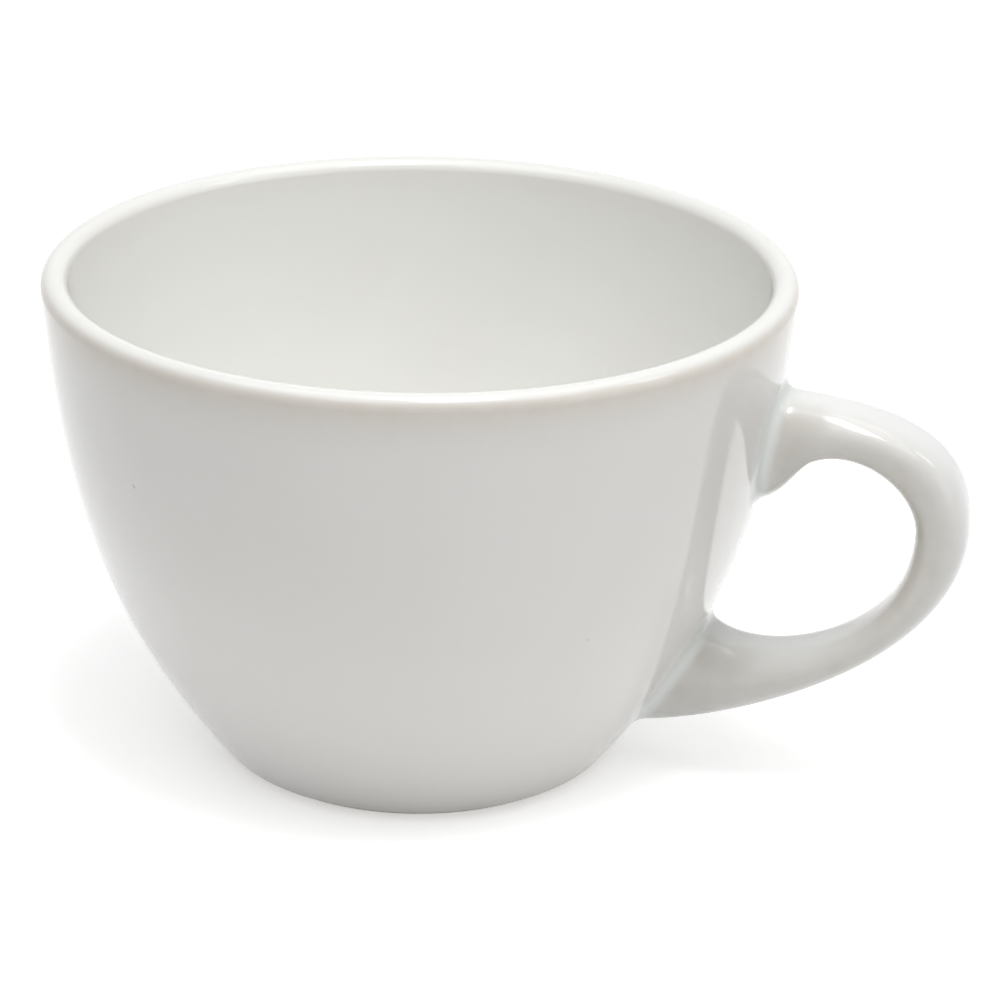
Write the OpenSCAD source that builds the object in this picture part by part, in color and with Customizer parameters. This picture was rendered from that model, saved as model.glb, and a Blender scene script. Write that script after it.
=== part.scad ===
// Glazed ceramic tea cup with a cast ear handle.
// The cup stands on its foot ring at z = 0, its axis is Z and the handle points along +X.

/* [Bowl] */
// Outside diameter over the lip
rim_d = 95; // [88:1:104]
// Height from the standing face to the top of the lip
cup_h = 65; // [60:1:72]
// Thickness of the finished lip, which is fully rounded
lip_t = 3.4; // [2.6:0.1:4.2]
// Thickness of the finished wall where its inside starts to turn into the floor
wall_t = 4.2; // [3.4:0.1:5.2]
// Thickness of the finished floor in the middle
floor_t = 4.6; // [3.6:0.1:6]
// Lean of the upper wall from vertical, in degrees
upper_lean = 4.5; // [2:0.5:7]
// Reach of the upper lean down the wall, before the belly bends it
upper_pull = 19.5; // [15:0.5:24]
// Lean of the wall at the foot from vertical, in degrees
lower_lean = 38; // [33:0.5:43]
// Reach of the lower lean up the wall, before the belly bends it
lower_pull = 29.2; // [25:0.1:33]
// Height on the outside wall at which the inside starts to turn into the floor
turn_z = 24; // [20:0.5:28]
// Reach of the inside wall into that turn
turn_pull = 20; // [16:0.5:23]
// Radius of the nearly flat middle of the inside floor
flat_r = 22; // [16:0.5:24]

/* [Foot] */
// Diameter of the finished wall at the glaze line
foot_d = 52.4; // [48:0.2:58]
// Height of the glaze line above the standing face
glaze_line = 1; // [0.8:0.1:1.4]
// Width of the bare standing ring
stand_w = 2.4; // [1.6:0.1:3.4]
// Rounding at both edges of the standing ring
foot_edge = 0.8; // [0.4:0.1:1.2]
// Depth of the recess inside the foot ring
recess_h = 2.4; // [2:0.1:3.2]
// Rounding between the recess's side and its ceiling
recess_round = 3; // [1.5:0.1:5]
// Further rise of the recess's ceiling towards the middle
recess_dome = 0.6; // [0.2:0.1:1]

/* [Glaze and slip] */
// Thickness of the coat of glaze
glaze_t = 0.3; // [0.2:0.05:0.45]
// Thickness of the slip that joins each root of the handle to the wall
slip_t = 0.7; // [0.55:0.05:1]

/* [Handle] */
// Reach of the handle beyond the lip
handle_reach = 23.1; // [19:0.1:27]
// Height of the handle's furthest point above the standing face
handle_apex_z = 37; // [33:0.1:40]
// Thickness of the handle at its furthest point, in side view
handle_t = 6; // [5:0.1:7.2]
// Width of the handle, across the side view
handle_w = 9.8; // [8:0.1:12]
// Squareness of the handle's section: 2 is an oval, higher is boxier
handle_square = 2.6; // [2:0.1:3.4]

/* [Handle roots] */
// Drop from the top of the lip to the top of the upper root
upper_root_drop = 12; // [10:0.1:14]
// Height of the upper root on the wall
upper_root_h = 13.4; // [11.5:0.1:15]
// Height of the lower root's bottom above the standing face
lower_root_z = 7; // [5.5:0.1:8.5]
// Height of the lower root on the wall
lower_root_h = 14; // [12:0.1:16]
// Widening of the upper root, both sides together
upper_root_flare = 1.6; // [0.8:0.1:3.2]
// Length over which the upper root widens
upper_flare_reach = 4; // [3:0.5:7]
// Widening of the lower root, both sides together
lower_root_flare = 2; // [0.8:0.1:4]
// Length over which the lower root widens
lower_flare_reach = 6; // [4:0.5:10]

/* [Handle curves] */
// Slope of the outer edge as it leaves the upper root, in degrees above horizontal
outer_top_slope = -6; // [-12:1:4]
// Reach of that slope
outer_top_pull = 10; // [7:0.1:13]
// Reach of the upright stretch of the outer edge above its furthest point
outer_upper_pull = 14.4; // [11.5:0.1:17.5]
// Reach of the upright stretch of the outer edge below its furthest point
outer_lower_pull = 17.7; // [14.5:0.1:20.5]
// Slope of the outer edge as it leaves the lower root, in degrees above horizontal
outer_foot_slope = -1; // [-10:1:8]
// Reach of that slope
outer_foot_pull = 7.8; // [5:0.1:10]
// Reach of the finger hole's edge straight out of the wall, under the upper root
hole_toe_pull = 2.7; // [1.8:0.1:3.6]
// Distance from the wall out to the knee, where that edge turns from the root into the arch
hole_knee_out = 6.2; // [5:0.1:7.5]
// Rise from the bottom of the root to the knee
hole_knee_rise = 5.5; // [4.4:0.1:6.6]
// Slope of the edge at the knee, in degrees above horizontal
hole_knee_slope = 32; // [24:1:40]
// Reach of the knee's slope back towards the wall
hole_knee_in = 0.9; // [0.5:0.1:1.5]
// Reach of the knee's slope into the arch
hole_knee_pull = 6.3; // [5:0.1:7.8]
// Reach of the upright stretch of the hole's edge above its furthest point
hole_upper_pull = 6.4; // [5:0.1:8]
// Reach of the upright stretch of the hole's edge below its furthest point
hole_lower_pull = 16.5; // [13.5:0.1:18]
// Slope of the hole's edge as it leaves the lower root, in degrees above horizontal
hole_foot_slope = -42; // [-50:1:-34]
// Reach of that slope
hole_foot_pull = 8.8; // [7:0.1:11]

/* [Hidden] */

lip_steps = 8;
wall_steps = 28;
inside_steps = 16;
floor_steps = 14;
edge_steps = 4;
dome_steps = 5;
arch_steps = 22;
toe_steps = 7;
section_sides = 24;
root_rings = 8;
flare_power = 2.2;
halvings = 26;
root_sink = 3;

// Curves: a cubic through its end points, its slope, and a quadratic corner
function cubic(p, t) =
    pow(1 - t, 3) * p[0] + 3 * pow(1 - t, 2) * t * p[1] + 3 * (1 - t) * t * t * p[2] + pow(t, 3) * p[3];
function cubic_slope(p, t) =
    pow(1 - t, 2) * (p[1] - p[0]) + 2 * (1 - t) * t * (p[2] - p[1]) + t * t * (p[3] - p[2]);
function corner(a, b, c, steps) =
    [for (i = [0:steps]) let(t = i / steps) pow(1 - t, 2) * a + 2 * (1 - t) * t * b + t * t * c];
function unit(v) = v / norm(v);
function swell(x) = x * x * (3 - 2 * x);
function backwards(list) = [for (i = [len(list) - 1:-1:0]) list[i]];
function after_first(list) = [for (i = [1:len(list) - 1]) list[i]];
function direction(angle) = [cos(angle), sin(angle)];

// The lip is a half round, and the wall leaves it along its lean
lip_r = lip_t / 2;
lip_mid = [rim_d / 2 - lip_r, cup_h - lip_r];
function lip(r, from, to) = [for (i = [0:lip_steps]) lip_mid + r * direction(from + (to - from) * i / lip_steps)];

// The finished outside of the wall, from the lip to the glaze line
wall_top = lip_mid + lip_r * direction(-upper_lean);
wall_foot = [foot_d / 2, glaze_line];
wall_curve = [wall_top,
              wall_top - upper_pull * direction(90 - upper_lean),
              wall_foot + lower_pull * direction(90 - lower_lean),
              wall_foot];
function wall_normal(t) = let(s = unit(cubic_slope(wall_curve, t))) [-s[1], s[0]];
function wall_point(t, out) = cubic(wall_curve, t) + out * wall_normal(t);
function wall(out) = [for (i = [0:wall_steps]) wall_point(i / wall_steps, out)];

// Where the outside wall passes a height, found by halving, and its radius there
function wall_at(z, low = 0, high = 1, n = halvings) =
    n == 0 ? (low + high) / 2
    : let(t = (low + high) / 2)
      cubic(wall_curve, t)[1] > z ? wall_at(z, t, high, n - 1) : wall_at(z, low, t, n - 1);
function on_wall(z) = [cubic(wall_curve, wall_at(z))[0], z];

// The inside follows the outside at the wall's thickness, then turns into the floor
turn_t = wall_at(turn_z);
function inside_depth(t) = lip_t + (wall_t - lip_t) * swell(t / turn_t);
function inside_wall(out) =
    [for (i = [0:inside_steps]) let(t = turn_t * i / inside_steps) wall_point(t, out - inside_depth(t))];
floor_z = recess_h + recess_dome + floor_t;
turn_start = wall_point(turn_t, -wall_t);
floor_curve = [turn_start,
               turn_start + turn_pull * unit(cubic_slope(wall_curve, turn_t)),
               [flat_r, floor_z],
               [0, floor_z]];
function floor_point(t, out) =
    let(s = unit(cubic_slope(floor_curve, t))) cubic(floor_curve, t) + out * [-s[1], s[0]];
function inside_floor(out) = [for (i = [1:floor_steps]) floor_point(i / floor_steps, out)];
function inside(out) = concat(lip(lip_r - out, 90, 180 - upper_lean), after_first(inside_wall(out)), inside_floor(out));
function outside(in) = concat(lip(lip_r - in, 90, -upper_lean), after_first(wall(-in)));

// The foot: a bare standing ring with rounded edges, round a shallow domed recess
clay_foot = wall_point(1, -glaze_t);
foot_tip = [clay_foot[0] - clay_foot[1] * tan(lower_lean), 0];
stand_ro = foot_tip[0] - foot_edge;
stand_ri = stand_ro - stand_w;
recess_r = stand_ri - foot_edge - glaze_t;
function recess(in) = concat(
    corner([recess_r + in, glaze_line], [recess_r + in, recess_h + in], [recess_r - recess_round, recess_h + in], edge_steps),
    after_first(corner([recess_r - recess_round, recess_h + in], [(recess_r - recess_round) / 2, recess_h + recess_dome + in],
                       [0, recess_h + recess_dome + in], dome_steps)));

// The handle in side view: its outer edge is two curves that meet upright. Its finger hole's edge has a third,
// which runs straight out of the wall under the upper root and bends up at a knee.
apex = [rim_d / 2 + handle_reach, handle_apex_z];
hole_apex = apex - [handle_t, 0];
upper_top = on_wall(cup_h - upper_root_drop);
upper_low = on_wall(cup_h - upper_root_drop - upper_root_h);
lower_low = on_wall(lower_root_z);
lower_top = on_wall(lower_root_z + lower_root_h);
outer_edge = [
    [upper_top, upper_top + outer_top_pull * direction(outer_top_slope), apex + [0, outer_upper_pull], apex],
    [apex, apex - [0, outer_lower_pull], lower_low + outer_foot_pull * direction(outer_foot_slope), lower_low]];
knee = upper_low + [hole_knee_out, hole_knee_rise];
hole_edge = [
    [upper_low, upper_low + [hole_toe_pull, 0], knee - hole_knee_in * direction(hole_knee_slope), knee],
    [knee, knee + hole_knee_pull * direction(hole_knee_slope), hole_apex + [0, hole_upper_pull], hole_apex],
    [hole_apex, hole_apex - [0, hole_lower_pull], lower_top + hole_foot_pull * direction(hole_foot_slope), lower_top]];
function curve_points(curve, steps) = [for (i = [1:steps]) cubic(curve, i / steps)];
outer_points = concat([upper_top],
                      curve_points(outer_edge[0], arch_steps),
                      curve_points(outer_edge[1], arch_steps));
hole_points = concat([upper_low],
                     curve_points(hole_edge[0], toe_steps),
                     curve_points(hole_edge[1], arch_steps - toe_steps),
                     curve_points(hole_edge[2], arch_steps));
last = len(outer_points) - 1;
mid_points = (outer_points + hole_points) / 2;

// Its sections span the two edges, widen towards the roots and run on into the clay wall at both ends
function flare(distance, reach) = pow(max(0, 1 - distance / reach), flare_power);
function ring_width(i) = handle_w
    + upper_root_flare * flare(norm(mid_points[i] - mid_points[0]), upper_flare_reach)
    + lower_root_flare * flare(norm(mid_points[i] - mid_points[last]), lower_flare_reach);
function squared(v) = sign(v) * pow(abs(v), 2 / handle_square);
function ring(i, grow, run) =
    let(chord = outer_points[i] - hole_points[i],
        across = unit(chord),
        along = [across[1], -across[0]],
        middle = mid_points[i] + run * along,
        half_t = norm(chord) / 2 + grow,
        half_w = ring_width(i) / 2 + grow)
    [for (j = [0:section_sides - 1])
        let(a = 360 * j / section_sides,
            side = middle + half_t * squared(cos(a)) * across)
        [side[0], half_w * squared(sin(a)), side[1]]];
function rings(grow, from, to) = concat(
    from == 0 ? [ring(0, grow, -root_sink)] : [],
    [for (i = [from:to]) ring(i, grow, 0)],
    to == last ? [ring(last, grow, root_sink)] : []);

// Triangles of a swept skin, facing out or in, and of the ends that close it
function skin(count, base, flip) =
    [for (i = [0:count - 2], j = [0:section_sides - 1])
        let(k = (j + 1) % section_sides,
            a = base + i * section_sides + j, b = base + i * section_sides + k,
            c = a + section_sides, d = b + section_sides)
        each (flip ? [[a, c, b], [b, c, d]] : [[a, b, c], [b, d, c]])];
function cap(base, flip) =
    [for (j = [1:section_sides - 2]) flip ? [base, base + j + 1, base + j] : [base, base + j, base + j + 1]];
function end_band(base, inner, flip) =
    [for (j = [0:section_sides - 1])
        let(k = (j + 1) % section_sides)
        each (flip ? [[base + j, inner + j, base + k], [base + k, inner + j, inner + k]]
                   : [[base + j, base + k, inner + j], [base + k, inner + k, inner + j]])];

// A stretch of the handle as a solid, from one ring to another
module ear(from, to) {
    list = rings(0, from, to);
    end = (len(list) - 1) * section_sides;
    polyhedron([for (r = list) each r], concat(skin(len(list), 0, false), cap(0, true), cap(end, false)));
}

// The coat round the whole handle, as a tube
module ear_coat() {
    outer = rings(glaze_t, 0, last);
    inner = rings(0, 0, last);
    count = len(outer);
    shift = count * section_sides;
    end = (count - 1) * section_sides;
    polyhedron([for (r = concat(outer, inner)) each r],
               concat(skin(count, 0, false), skin(count, shift, true),
                      end_band(0, shift, true), end_band(end, shift + end, false)));
}

// A turned solid, with its seam at the back, away from the handle
module turned(profile) {
    rotate([0, 0, 180]) rotate_extrude() polygon(profile);
}

// Everything within the outside wall, grown by a given thickness
module within_wall(out) {
    points = wall(out);
    turned(concat([[0, points[wall_steps][1]]], backwards(points), [[0, points[0][1]]]));
}

// The layer of slip on the clay wall
module slip_layer() {
    turned(concat(wall(slip_t - glaze_t), backwards(wall(-glaze_t))));
}

module bowl() {
    color("ivory")
    turned(concat(
        backwards(inside(glaze_t)),
        after_first(outside(glaze_t)),
        after_first(corner(clay_foot, foot_tip, [stand_ro, 0], edge_steps)),
        corner([stand_ri, 0], [stand_ri - foot_edge, 0], [stand_ri - foot_edge, glaze_line], edge_steps),
        after_first(recess(glaze_t))));
}

module handle() {
    color("ivory")
    difference() {
        ear(0, last);
        within_wall(slip_t - glaze_t);
    }
}

module upper_slip_joint() {
    color("wheat")
    intersection() {
        slip_layer();
        ear(0, root_rings);
    }
}

module lower_slip_joint() {
    color("wheat")
    intersection() {
        slip_layer();
        ear(last - root_rings, last);
    }
}

module inside_glaze() {
    color("white")
    turned(concat(inside(0), backwards(inside(glaze_t))));
}

module outside_glaze() {
    color("white")
    difference() {
        turned(concat(outside(0), backwards(outside(glaze_t))));
        ear(0, root_rings);
        ear(last - root_rings, last);
    }
}

module handle_glaze() {
    color("white")
    difference() {
        ear_coat();
        within_wall(0);
    }
}

module foot_recess_glaze() {
    color("white")
    turned(concat(recess(0), backwards(recess(glaze_t))));
}

bowl();
handle();
upper_slip_joint();
lower_slip_joint();
inside_glaze();
outside_glaze();
handle_glaze();
foot_recess_glaze();
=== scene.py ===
# %% [markdown]
# # A glazed tea cup
# A tea cup is two shaped pieces of clay, a bowl and an ear handle, joined with slip and covered with glaze.
# The solid model already fixes where each of them is and how big. This script dresses that model: every
# surface that shows is made again as a fine smooth mesh, because gloss shows up the smallest flat facet,
# and every surface gets a finish.

# %% Load the solid model
import math

import bmesh
import bpy
import numpy as np
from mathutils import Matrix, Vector


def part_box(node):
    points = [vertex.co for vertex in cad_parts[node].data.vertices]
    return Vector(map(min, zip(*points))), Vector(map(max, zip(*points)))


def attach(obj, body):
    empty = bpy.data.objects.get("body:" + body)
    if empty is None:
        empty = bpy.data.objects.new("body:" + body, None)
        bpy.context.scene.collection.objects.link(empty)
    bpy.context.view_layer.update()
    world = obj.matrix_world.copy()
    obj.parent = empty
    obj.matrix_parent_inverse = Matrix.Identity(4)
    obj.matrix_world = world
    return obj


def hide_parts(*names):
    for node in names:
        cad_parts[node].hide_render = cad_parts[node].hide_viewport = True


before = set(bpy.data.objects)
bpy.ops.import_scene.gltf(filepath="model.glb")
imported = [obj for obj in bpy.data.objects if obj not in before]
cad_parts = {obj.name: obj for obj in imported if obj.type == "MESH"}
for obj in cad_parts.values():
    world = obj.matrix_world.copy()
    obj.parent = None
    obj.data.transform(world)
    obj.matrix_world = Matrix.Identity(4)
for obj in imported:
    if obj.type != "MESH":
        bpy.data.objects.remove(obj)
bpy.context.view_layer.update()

# %% [markdown]
# ## The sizes that drive the shapes
# The fine meshes follow the same curves as the solids, so they start from the same sizes, in millimetres.
# Sizes that the solids show directly are read from them. The rest are the potter's own: how far the wall
# leans, how long it keeps that lean, how thick it is.

# %% Read the main sizes and name the others
MM = 0.001
cup_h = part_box("inside_glaze")[1].z / MM
rim_r = 47.5
lip_t, wall_t, floor_t = 3.4, 4.2, 4.6
upper_lean, upper_pull = 4.5, 19.5
lower_lean, lower_pull = 38, 29.2
turn_z, turn_pull, flat_r = 24, 20, 22
foot_r, glaze_line, stand_w, foot_edge = 26.2, 1, 2.4, 0.8
recess_h, recess_round, recess_dome = 2.4, 3, 0.6
glaze_t = 0.3
coat_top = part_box("outside_glaze")[1]
print("height", round(cup_h, 2), "rim radius off by", round(rim_r - coat_top.y / MM, 3), "mm")

# %% [markdown]
# ## Curves
# A potter's template is a smooth curve held by its two ends and the way it leaves each of them, which is
# exactly what a cubic Bezier curve is. Two helpers give its points and its direction, for many places along
# it at once.

# %% Curve helpers


def heading(degrees):
    """A step of one unit, in degrees above the horizontal."""
    return np.array([math.cos(math.radians(degrees)), math.sin(math.radians(degrees))])


def cubic(ends, t):
    """Points on a cubic curve, given its two ends and the two points between that pull it."""
    t = np.asarray(t, float)[..., None]
    a, b, c, d = ends
    return (1 - t) ** 3 * a + 3 * (1 - t) ** 2 * t * b + 3 * (1 - t) * t**2 * c + t**3 * d


def cubic_heading(ends, t):
    """The way a cubic curve runs, as steps of one unit."""
    t = np.asarray(t, float)[..., None]
    a, b, c, d = ends
    step = (1 - t) ** 2 * (b - a) + 2 * (1 - t) * t * (c - b) + t**2 * (d - c)
    return step / np.linalg.norm(step, axis=-1, keepdims=True)


def offset(points, headings, out):
    """Moves each point sideways, to the left of the way the curve runs."""
    sideways = np.stack([-headings[..., 1], headings[..., 0]], -1)
    return points + np.asarray(out, float)[..., None] * sideways


def corner(a, b, c, steps):
    """A quadratic curve that sets out from a towards b and comes round to c."""
    t = np.linspace(0, 1, steps)[:, None]
    return (1 - t) ** 2 * np.array(a) + 2 * (1 - t) * t * np.array(b) + t**2 * np.array(c)


def swell(x):
    """Eases a value from 0 to 1 with a soft start and a soft end."""
    return x * x * (3 - 2 * x)


# %% [markdown]
# ## The wall in section
# Half of the cup's section is enough, because the rest is that half turned round the axis. The lip is a half
# round. The outside wall leaves it with a slight lean, bends over the belly and comes down steeply to the
# foot. The inside keeps the wall's thickness and then turns into the floor.

# %% Lip, outside wall and inside
lip_r = lip_t / 2
lip_mid = np.array([rim_r - lip_r, cup_h - lip_r])
wall_top = lip_mid + lip_r * heading(-upper_lean)
wall_foot = np.array([foot_r, glaze_line])
wall_curve = [
    wall_top,
    wall_top - upper_pull * heading(90 - upper_lean),
    wall_foot + lower_pull * heading(90 - lower_lean),
    wall_foot,
]
LIP_STEPS, WALL_STEPS, INSIDE_STEPS, FLOOR_STEPS = 64, 110, 60, 60
FINE_STEPS, LEVELS = 4001, 500


def lip_arc(radius, start, end):
    angles = np.radians(np.linspace(start, end, LIP_STEPS))
    return lip_mid + radius * np.stack([np.cos(angles), np.sin(angles)], -1)


def wall_at(t, out):
    """Points beside the finished wall, at a distance outwards."""
    return offset(cubic(wall_curve, t), cubic_heading(wall_curve, t), out)


fine_t = np.linspace(0, 1, FINE_STEPS)
fine_wall = cubic(wall_curve, fine_t)


def wall_radius(z):
    """Radius of the finished outside wall at a height."""
    return np.interp(z, fine_wall[::-1, 1], fine_wall[::-1, 0])


turn_t = float(np.interp(turn_z, fine_wall[::-1, 1], fine_t[::-1]))
floor_z = recess_h + recess_dome + floor_t
turn_start = wall_at(np.array(turn_t), -wall_t)
floor_curve = [
    turn_start,
    turn_start + turn_pull * cubic_heading(wall_curve, np.array(turn_t)),
    np.array([flat_r, floor_z]),
    np.array([0, floor_z]),
]


def outside_section(into):
    """From the crest of the lip down to the glaze line, at a depth below the finished surface."""
    wall = wall_at(np.linspace(0, 1, WALL_STEPS), -into)
    return np.concatenate([lip_arc(lip_r - into, 90, -upper_lean), wall[1:]])


def inside_section(into):
    """From the crest of the lip down to the middle of the floor, at a depth below the finished surface."""
    t = np.linspace(0, turn_t, INSIDE_STEPS)
    wall = wall_at(t, into - lip_t - (wall_t - lip_t) * swell(t / turn_t))
    t = np.linspace(0, 1, FLOOR_STEPS)
    floor = offset(cubic(floor_curve, t), cubic_heading(floor_curve, t), into)
    return np.concatenate([lip_arc(lip_r - into, 90, 180 - upper_lean), wall[1:], floor[1:]])


inside_points = inside_section(0)
levels = np.linspace(floor_z, lip_mid[1], LEVELS)
radii = np.interp(levels, inside_points[::-1, 1], inside_points[::-1, 0])
volume = float(np.sum(np.pi * radii**2) * (levels[1] - levels[0]))
print("holds, ml, to the middle of the lip:", round(volume / 1000))

# %% [markdown]
# ## The foot in section
# Under the cup a narrow bare ring carries it, with a shallow glazed recess inside. The ring's edges are
# sponged round before firing, so each edge is a small quadratic corner.

# %% Foot ring and recess
EDGE_STEPS, DOME_STEPS = 10, 24
clay_foot = wall_at(np.array(1.0), -glaze_t)
foot_tip = np.array([clay_foot[0] - clay_foot[1] * math.tan(math.radians(lower_lean)), 0])
stand_outer = foot_tip[0] - foot_edge
stand_inner = stand_outer - stand_w
recess_r = stand_inner - foot_edge - glaze_t


def recess_section(into):
    side, top, flat = recess_r + into, recess_h + into, recess_r - recess_round
    edge = corner([side, glaze_line], [side, top], [flat, top], EDGE_STEPS)
    dome = corner([flat, top], [flat / 2, top + recess_dome], [0, top + recess_dome], DOME_STEPS)
    return np.concatenate([edge, dome[1:]])


def bare_foot_section():
    outer = corner(clay_foot, foot_tip, [stand_outer, 0], EDGE_STEPS)
    inner_side = stand_inner - foot_edge
    inner = corner([stand_inner, 0], [inner_side, 0], [inner_side, glaze_line], EDGE_STEPS)
    return np.concatenate([outer[1:], inner])


print("standing ring, mm across:", round(stand_outer * 2, 1), "outside,", round(stand_inner * 2, 1), "inside")

# %% [markdown]
# ## Turning a section into a mesh
# A potter's wheel turns the section round the axis, and so does this helper: each point of a closed section
# becomes a ring of points, and neighbouring rings are joined with quads. A Screw modifier could do it too,
# but building the rings directly lets each one carry values of its own. Such values are kept on every point,
# because they decide how glaze looks: where the coat has run thin, on edges, and where it has pooled, and
# with that where painted shade and painted glints go into its tone.

# %% Mesh helpers
AROUND = 288
SHARP_ANGLE = math.radians(35)
ON_AXIS = 1e-6


def finish_mesh(name, points, faces, values):
    """A smooth object from points in millimetres, with the values that its points carry."""
    mesh = bpy.data.meshes.new(name)
    mesh.from_pydata((np.asarray(points) * MM).tolist(), [], faces)
    tidy = bmesh.new()
    tidy.from_mesh(mesh)
    bmesh.ops.recalc_face_normals(tidy, faces=tidy.faces)
    tidy.to_mesh(mesh)
    tidy.free()
    for label, amounts in values.items():
        layer = mesh.attributes.new(label, "FLOAT", "POINT")
        layer.data.foreach_set("value", np.asarray(amounts, np.float32))
    mesh.polygons.foreach_set("use_smooth", np.ones(len(mesh.polygons), bool))
    mesh.set_sharp_from_angle(angle=SHARP_ANGLE)
    piece = bpy.data.objects.new(name, mesh)
    bpy.context.scene.collection.objects.link(piece)
    print(name, len(mesh.vertices), "points,", len(mesh.polygons), "faces")
    return piece


def turned(name, section, thin_and_shade, pool_at=None):
    """A closed section turned round the axis. Points on the axis stay single."""
    angles = np.linspace(0, 2 * np.pi, AROUND, endpoint=False)
    points, starts, thin_and_shade_values = [], [], []
    for (radius, z), value in zip(section, thin_and_shade):
        starts.append(len(points))
        count = AROUND if radius > ON_AXIS else 1
        for a in angles[:count]:
            points.append((radius * math.cos(a), radius * math.sin(a), z))
        thin_and_shade_values.extend([value] * count)
    sizes = np.diff(starts + [len(points)])
    faces = []
    for i in range(len(section)):
        j = (i + 1) % len(section)
        for k in range(AROUND):
            n = (k + 1) % AROUND
            a, b = starts[i] + k % sizes[i], starts[i] + n % sizes[i]
            c, d = starts[j] + n % sizes[j], starts[j] + k % sizes[j]
            face = list(dict.fromkeys((a, b, c, d)))
            if len(face) > 2:
                faces.append(face)
    points = np.array(points)
    pool_and_glint = pool_at(points) if pool_at else np.zeros(len(points))
    return finish_mesh(name, points, faces, {"thin_and_shade": thin_and_shade_values, "pool_and_glint": pool_and_glint})


# %% [markdown]
# ## The handle in side view
# The ear is drawn by two edges: its outer one and that of the finger hole. Each runs from the wall to the
# ear's furthest point and back to the wall, and their roots lie on the wall's own curve. Under the upper root
# the hole's edge first comes straight out of the wall and then bends up at a knee, which gives the root a
# round toe. A slope is the way a curve sets out, in degrees, and a pull is how far it keeps to that way.

# %% Edges of the ear
handle_reach, apex_z, handle_t, handle_w = 23.1, 37.0, 6.0, 9.8
upper_root_drop, upper_root_h = 12, 13.4
lower_root_z, lower_root_h = 7, 14
outer_top_pull, outer_top_slope, outer_upper_pull = 10, -6, 14.4
outer_lower_pull, outer_foot_pull, outer_foot_slope = 17.7, 7.8, -1
toe_pull, knee_out, knee_rise = 2.7, 6.2, 5.5
knee_slope, knee_pull_in, knee_pull_out = 32, 0.9, 6.3
hole_upper_pull, hole_lower_pull = 6.4, 16.5
hole_foot_pull, hole_foot_slope = 8.8, -42
SQUARENESS = 2.6
ARCH_STEPS, TOE_STEPS, SECTION_SIDES = 88, 28, 96


def on_wall(z):
    return np.array([wall_radius(z), z])


apex = np.array([rim_r + handle_reach, apex_z])
hole_apex = apex - [handle_t, 0]
upper_root_z = cup_h - upper_root_drop
upper_top, upper_low = on_wall(upper_root_z), on_wall(upper_root_z - upper_root_h)
lower_low, lower_top = on_wall(lower_root_z), on_wall(lower_root_z + lower_root_h)
knee = upper_low + [knee_out, knee_rise]
outer_edge = [
    [upper_top, upper_top + outer_top_pull * heading(outer_top_slope), apex + [0, outer_upper_pull], apex],
    [apex, apex - [0, outer_lower_pull],
     lower_low + outer_foot_pull * heading(outer_foot_slope), lower_low],
]
hole_edge = [
    [upper_low, upper_low + [toe_pull, 0], knee - knee_pull_in * heading(knee_slope), knee],
    [knee, knee + knee_pull_out * heading(knee_slope), hole_apex + [0, hole_upper_pull], hole_apex],
    [hole_apex, hole_apex - [0, hole_lower_pull],
     lower_top + hole_foot_pull * heading(hole_foot_slope), lower_top],
]


def edge_points(edge, steps):
    """Points along joined curves, with the steps that each of them takes."""
    stretches = [cubic(curve, np.arange(1, count + 1) / count) for curve, count in zip(edge, steps)]
    return np.concatenate([edge[0][0][None], *stretches])


outer_points = edge_points(outer_edge, (ARCH_STEPS, ARCH_STEPS))
hole_points = edge_points(hole_edge, (TOE_STEPS, ARCH_STEPS - TOE_STEPS, ARCH_STEPS))
spine = (outer_points + hole_points) / 2
print("finger hole, mm:", round(float(hole_points[:, 0].max() - wall_radius(apex_z)), 1), "wide,",
      round(float(np.ptp(hole_points[:, 1])), 1), "high")

# %% [markdown]
# ## Sections of the handle
# Between the two edges sit squared ovals, boxier than an ellipse, as a slip cast handle has. They widen
# a little just before both roots. At each end the sections run on a little way into the wall.

# %% Rings of the ear
upper_flare, upper_flare_reach = 1.6, 4
lower_flare, lower_flare_reach = 2.0, 6
FLARE_POWER = 2.2
ROOT_SINK = 3.0


def flare(distance, reach):
    """One at a root, falling to nothing at a distance from it."""
    return np.clip(1 - distance / reach, 0, None) ** FLARE_POWER


def squared(v):
    """Turns the sine or cosine of an ellipse into that of a squared oval."""
    return np.sign(v) * np.abs(v) ** (2 / SQUARENESS)


def ear_rings(grow):
    """Rings of points from the upper root to the lower, each with its first point on the outer edge."""
    chord = outer_points - hole_points
    length = np.linalg.norm(chord, axis=1)
    across = chord / length[:, None]
    along = np.stack([across[:, 1], -across[:, 0]], -1)
    from_upper = np.linalg.norm(spine - spine[0], axis=1)
    from_lower = np.linalg.norm(spine - spine[-1], axis=1)
    wide = (handle_w + upper_flare * flare(from_upper, upper_flare_reach)
            + lower_flare * flare(from_lower, lower_flare_reach))
    sunk_start, sunk_end = spine[:1] - ROOT_SINK * along[:1], spine[-1:] + ROOT_SINK * along[-1:]
    middle = np.concatenate([sunk_start, spine, sunk_end])
    repeat = np.r_[0, np.arange(len(spine)), len(spine) - 1]
    across, half_t, half_w = across[repeat], length[repeat] / 2 + grow, wide[repeat] / 2 + grow
    angle = np.linspace(0, 2 * np.pi, SECTION_SIDES, endpoint=False)
    u = middle[:, None, 0] + across[:, None, 0] * half_t[:, None] * squared(np.cos(angle))
    z = middle[:, None, 1] + across[:, None, 1] * half_t[:, None] * squared(np.cos(angle))
    y = half_w[:, None] * squared(np.sin(angle)) * np.ones_like(u)
    return np.stack([u, y, z], -1)


# %% [markdown]
# ## Where the handle meets the wall
# The coats of the handle and of the wall run into each other, so each lengthwise line of the ear has to be
# followed down to the wall. These helpers move points onto the wall, tell how far off it they are and which
# way it faces there, and find where a line passes out of it.

# %% Helpers for lines that meet the wall
SLOPE_STEP = 0.05


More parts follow.
